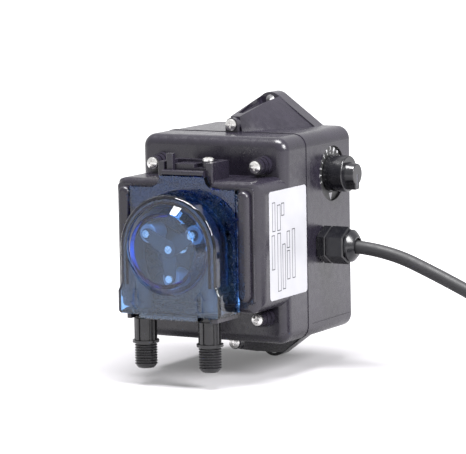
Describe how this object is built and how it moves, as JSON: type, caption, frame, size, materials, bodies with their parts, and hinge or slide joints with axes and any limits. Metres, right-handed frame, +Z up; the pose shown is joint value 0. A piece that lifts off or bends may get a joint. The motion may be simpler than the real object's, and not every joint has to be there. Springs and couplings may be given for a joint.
{
  "type": "metering pump",
  "caption": "Wall-mount peristaltic metering pump: geared motor in a two-shell housing, roller head under a clear slide-off cover, threaded ports, speed dial, gland and mains lead.",
  "frame": {"origin": "middle of the two wall screw holes, on the wall's surface", "axes": "+Z up, +X to the right of someone facing the pump, -Y out from the wall"},
  "size_m": [0.4052, 0.1495, 0.1676],
  "materials": {
    "housing_plastic": "fine textured satin",
    "black_gloss": "gloss",
    "black_plastic": "satin",
    "steel": "bright",
    "plated_steel": "zinc plated",
    "seal_rubber": "matte",
    "cord_rubber": "matte",
    "tube_rubber": "matte",
    "blue_clear": "tinted clear plastic",
    "roller_plastic": "satin",
    "carrier_plastic": "satin",
    "label": "matte film",
    "dial_face": "matte film",
    "brass": "plain",
    "copper": "enamelled wire",
    "gear_nylon": "natural",
    "iron": "plain",
    "board_green": "solder mask"
  },
  "bodies": {
    "housing": {"rear_housing": "housing_plastic", "front_housing": "housing_plastic", "housing_gasket": "seal_rubber", "cover_screws": "steel", "lug_screws": "steel", "rating_label": "label", "latch_bracket": "housing_plastic", "pump_tube": "tube_rubber", "suction_fitting": "black_plastic", "discharge_fitting": "black_plastic", "dial_plate": "dial_face", "speed_potentiometer": "steel", "potentiometer_nut": "steel", "control_board": "board_green", "board_screws": "steel", "board_components": "black_plastic", "gland_washer": "seal_rubber", "gland_body": "black_gloss", "gland_locknut": "black_gloss", "gland_nut": "black_gloss", "gland_seal": "seal_rubber", "gearbox_rear_plate": "plated_steel", "gearbox_front_plate": "plated_steel", "gearbox_spacers": "steel", "gearbox_screws": "steel", "gear_spindles": "steel", "front_bush": "brass", "rear_bush": "brass", "shaft_seal": "seal_rubber", "motor_can": "plated_steel", "motor_end_cap": "black_plastic", "motor_bushes": "brass", "motor_magnets": "iron", "power_cord": "cord_rubber", "cord_coil": "cord_rubber", "cord_tail": "cord_rubber", "plug_body": "cord_rubber", "plug_pins": "brass"},
    "cover": {"tube_cover": "blue_clear", "cover_keeper": "housing_plastic", "keeper_screw": "steel"},
    "knob": {"speed_knob": "black_gloss", "potentiometer_shaft": "steel"},
    "head": {"roller_carrier_rear": "carrier_plastic", "roller_carrier_front": "carrier_plastic", "carrier_nut": "carrier_plastic", "roller_pins": "steel", "output_shaft": "steel", "output_gear": "gear_nylon"},
    "roller_1": {"roller_1": "roller_plastic"},
    "roller_2": {"roller_2": "roller_plastic"},
    "roller_3": {"roller_3": "roller_plastic"},
    "gear_b": {"cluster_gear_b": "gear_nylon"},
    "gear_a": {"cluster_gear_a": "gear_nylon"},
    "rotor": {"motor_pinion": "gear_nylon", "motor_shaft": "steel", "motor_armature": "iron", "motor_windings": "copper", "motor_commutator": "copper"}
  },
  "joints": [
    {"name": "cover_slide", "type": "slide", "parent": "housing", "child": "cover", "axis": [0, 0, 1], "range_m": [0, 0.075]},
    {"name": "knob_turn", "type": "hinge", "parent": "housing", "child": "knob", "pos_m": [0.055, -0.0238, 0.0357], "axis": [-1, 0, 0], "range_deg": [0, 240]},
    {"name": "head_spin", "type": "hinge", "parent": "housing", "child": "head", "pos_m": [0, -0.1333, 0], "axis": [0, -1, 0], "continuous": true},
    {"name": "roller_1_spin", "type": "hinge", "parent": "head", "child": "roller_1", "pos_m": [0.01541, -0.1333, 0.0089], "axis": [0, -1, 0], "continuous": true},
    {"name": "roller_2_spin", "type": "hinge", "parent": "head", "child": "roller_2", "pos_m": [-0.01541, -0.1333, 0.0089], "axis": [0, -1, 0], "continuous": true},
    {"name": "roller_3_spin", "type": "hinge", "parent": "head", "child": "roller_3", "pos_m": [0, -0.1333, -0.0178], "axis": [0, -1, 0], "continuous": true},
    {"name": "gear_b_spin", "type": "hinge", "parent": "housing", "child": "gear_b", "pos_m": [-0.02148, -0.09, 0.0124], "axis": [0, -1, 0], "continuous": true},
    {"name": "gear_a_spin", "type": "hinge", "parent": "housing", "child": "gear_a", "pos_m": [-0.02148, -0.09, -0.0072], "axis": [0, -1, 0], "continuous": true},
    {"name": "rotor_spin", "type": "hinge", "parent": "housing", "child": "rotor", "pos_m": [-0.00838, -0.06, -0.01819], "axis": [0, -1, 0], "continuous": true}
  ],
  "couplings": [
    {"joint": "roller_1_spin", "follows": "head_spin", "ratio": -4.1228},
    {"joint": "roller_2_spin", "follows": "head_spin", "ratio": -4.1228},
    {"joint": "roller_3_spin", "follows": "head_spin", "ratio": -4.1228},
    {"joint": "gear_b_spin", "follows": "head_spin", "ratio": -3.4286},
    {"joint": "gear_a_spin", "follows": "head_spin", "ratio": 10.286},
    {"joint": "rotor_spin", "follows": "head_spin", "ratio": -38.571}
  ]
}
